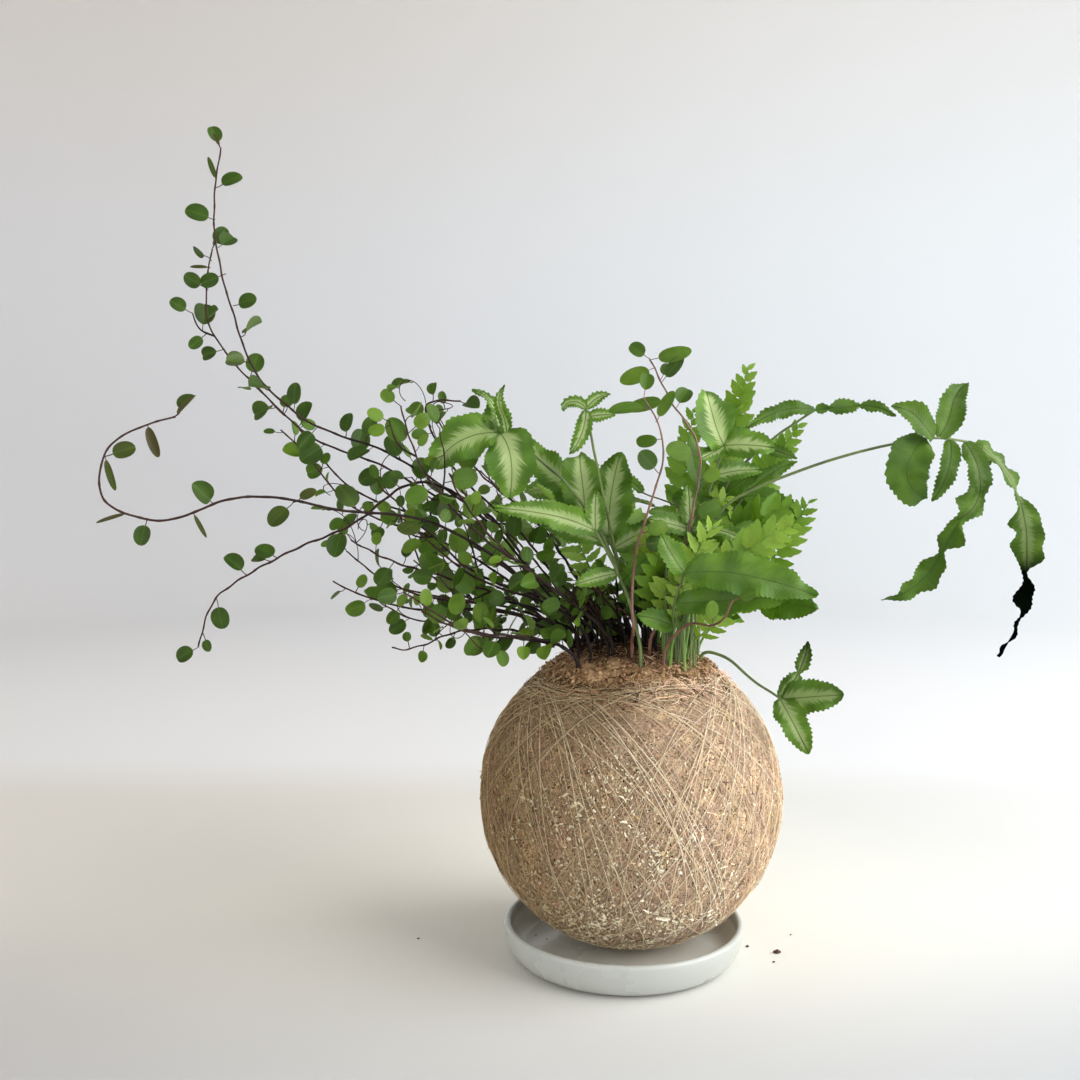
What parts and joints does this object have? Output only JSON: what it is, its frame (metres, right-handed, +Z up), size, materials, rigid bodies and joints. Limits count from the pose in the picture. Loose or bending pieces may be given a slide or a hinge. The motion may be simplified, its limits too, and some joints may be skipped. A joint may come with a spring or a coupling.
{
  "type": "kokedama moss ball plant",
  "caption": "Thread-wound fibre moss ball planted with wire vine, variegated brake fern and ladder fern, resting in a shallow round glazed saucer.",
  "frame": {"origin": "centre of the saucer's flat underside, on the surface the object stands on", "axes": "+Z up, +X to the right as seen from the front, +Y to the back"},
  "size_m": [0.3501, 0.1669, 0.3245],
  "materials": {
    "saucer_glaze": "gloss",
    "peat": "matte",
    "coco_fibre": "matte",
    "thread": "matte",
    "vine_green": "satin",
    "vine_red": "satin",
    "brake_green": "satin",
    "ladder_green": "satin"
  },
  "bodies": {
    "root": {"saucer": "saucer_glaze", "soil_core": "peat", "fibre_wrap": "coco_fibre", "winding_thread": "thread", "vine_tall_right": "vine_green", "vine_tall_left": "vine_green", "vine_third": "vine_green", "vine_curl": "vine_green", "vine_droop": "vine_green", "vine_low_front": "vine_green", "vine_low_middle": "vine_green", "vine_low_near": "vine_green", "vine_low_back": "vine_green", "vine_middle": "vine_green", "vine_red_arch": "vine_green", "vine_hook": "vine_green", "vine_back_high": "vine_green", "vine_back_low": "vine_green", "vine_back_droop": "vine_green", "vine_red_tall": "vine_red", "vine_red_short": "vine_red", "vine_red_low": "vine_red", "brake_fern_left": "brake_green", "brake_fern_curl": "brake_green", "brake_fern_pale": "brake_green", "brake_fern_bright": "brake_green", "brake_fern_yellow": "brake_green", "brake_fern_middle": "brake_green", "brake_fern_thin": "brake_green", "brake_fern_long": "brake_green", "brake_fern_low": "brake_green", "brake_fern_front": "brake_green", "brake_fern_inner": "brake_green", "brake_fern_right": "brake_green", "brake_fern_back_right": "brake_green", "brake_fern_back_left": "brake_green", "ladder_fern_tall": "ladder_green", "ladder_fern_upright": "ladder_green", "ladder_fern_right": "ladder_green", "ladder_fern_centre": "ladder_green", "ladder_fern_front": "ladder_green", "ladder_fern_side": "ladder_green", "ladder_fern_back": "ladder_green", "ladder_fern_rear_left": "ladder_green"}
  },
  "joints": []
}
